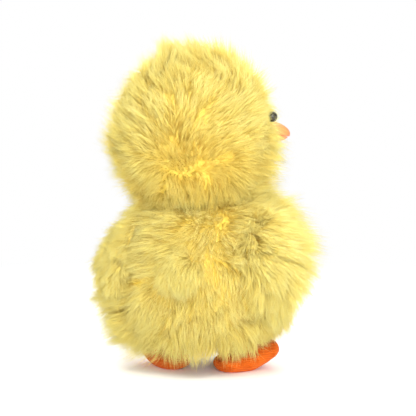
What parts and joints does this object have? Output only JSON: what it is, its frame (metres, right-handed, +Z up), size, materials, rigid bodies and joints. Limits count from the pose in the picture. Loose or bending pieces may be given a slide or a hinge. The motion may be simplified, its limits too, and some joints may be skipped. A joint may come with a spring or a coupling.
{
  "type": "wind-up hopping plush chick",
  "caption": "Plush toy chick with a spring motor that kicks its feet, a turning head and flapping wings.",
  "frame": {"origin": "bottom centre of the toy's bounding box, on the surface that it stands on", "axes": "+Z up, -Y the way the body faces, +X the chick's left side"},
  "size_m": [0.0808, 0.0748, 0.124],
  "materials": {
    "body_plush": "matte",
    "wadding": "matte",
    "foot_plush": "matte",
    "eye_gloss": "gloss",
    "beak_plastic": "satin",
    "washer_plastic": "satin",
    "casing_plastic": "satin",
    "leg_plastic": "satin",
    "gear_plastic": "satin",
    "gear_brass": "satin",
    "shaft_steel": "polished",
    "spring_steel": "satin",
    "fastener_steel": "satin",
    "knob_plastic": "gloss"
  },
  "bodies": {
    "torso": {"body_cover": "body_plush", "body_stuffing": "wadding", "tail": "body_plush", "left_casing": "casing_plastic", "right_casing": "casing_plastic", "casing_screws": "fastener_steel", "mainspring": "spring_steel", "shaft_grommet": "knob_plastic", "leg_pivot_pin": "shaft_steel", "return_spring": "spring_steel", "neck_post": "casing_plastic", "lower_neck_disc": "casing_plastic", "neck_bolt": "fastener_steel"},
    "head": {"head_cover": "body_plush", "head_stuffing": "wadding", "upper_neck_disc": "casing_plastic", "upper_beak": "beak_plastic", "lower_beak": "beak_plastic", "left_eye": "eye_gloss", "right_eye": "eye_gloss", "left_eye_washer": "washer_plastic", "right_eye_washer": "washer_plastic"},
    "winding_arbor": {"winding_knob": "knob_plastic", "winding_shaft": "shaft_steel", "ratchet_wheel": "shaft_steel"},
    "great_wheel": {"great_gear": "gear_brass", "click": "shaft_steel", "click_pin": "shaft_steel"},
    "second_wheel": {"second_pinion": "gear_plastic", "second_gear": "gear_plastic", "second_shaft": "shaft_steel"},
    "cam_wheel": {"cam_pinion": "gear_plastic", "cam_gear": "gear_plastic", "hop_cam": "gear_plastic", "cam_shaft": "shaft_steel"},
    "governor": {"governor_pinion": "gear_plastic", "flywheel": "gear_plastic", "governor_shaft": "shaft_steel"},
    "legs": {"leg_yoke": "leg_plastic", "foot_screws": "fastener_steel", "left_foot_cover": "foot_plush", "left_foot_plate": "leg_plastic", "right_foot_cover": "foot_plush", "right_foot_plate": "leg_plastic"},
    "left_wing": {"left_wing_cover": "body_plush", "left_wing_wadding": "wadding"},
    "right_wing": {"right_wing_cover": "body_plush", "right_wing_wadding": "wadding"}
  },
  "joints": [
    {"name": "neck_turn", "type": "hinge", "parent": "torso", "child": "head", "pos_m": [0, -0.00138, 0.0663], "axis": [0, 0, 1], "range_deg": [-15, 105]},
    {"name": "winding", "type": "hinge", "parent": "torso", "child": "winding_arbor", "pos_m": [0.03432, -0.01038, 0.033], "axis": [1, 0, 0], "continuous": true, "deforming": ["mainspring"]},
    {"name": "great_turn", "type": "hinge", "parent": "torso", "child": "great_wheel", "pos_m": [0.0026, -0.01038, 0.033], "axis": [1, 0, 0], "continuous": true},
    {"name": "second_turn", "type": "hinge", "parent": "torso", "child": "second_wheel", "pos_m": [0, 0.0014, 0.03729], "axis": [1, 0, 0], "continuous": true},
    {"name": "cam_turn", "type": "hinge", "parent": "torso", "child": "cam_wheel", "pos_m": [0, 0.00483, 0.02785], "axis": [1, 0, 0], "continuous": true},
    {"name": "governor_turn", "type": "hinge", "parent": "torso", "child": "governor", "pos_m": [0, 0.01099, 0.03302], "axis": [1, 0, 0], "continuous": true},
    {"name": "leg_kick", "type": "hinge", "parent": "torso", "child": "legs", "pos_m": [0, 0.00562, 0.0165], "axis": [1, 0, 0], "range_deg": [0, 20], "stiffness_Nm_per_rad": 0.004, "springref_deg": -34.38, "deforming": ["return_spring"]},
    {"name": "left_wing_flap", "type": "hinge", "parent": "torso", "child": "left_wing", "pos_m": [0.01988, 0.00719, 0.062], "axis": [0.4695, -0.8829, 0], "range_deg": [0, 35]},
    {"name": "right_wing_flap", "type": "hinge", "parent": "torso", "child": "right_wing", "pos_m": [-0.01988, 0.00719, 0.062], "axis": [0.4695, 0.8829, 0], "range_deg": [0, 35]}
  ],
  "couplings": [
    {"joint": "second_turn", "follows": "great_turn", "ratio": -4},
    {"joint": "cam_turn", "follows": "great_turn", "ratio": 12},
    {"joint": "governor_turn", "follows": "great_turn", "ratio": -36}
  ]
}
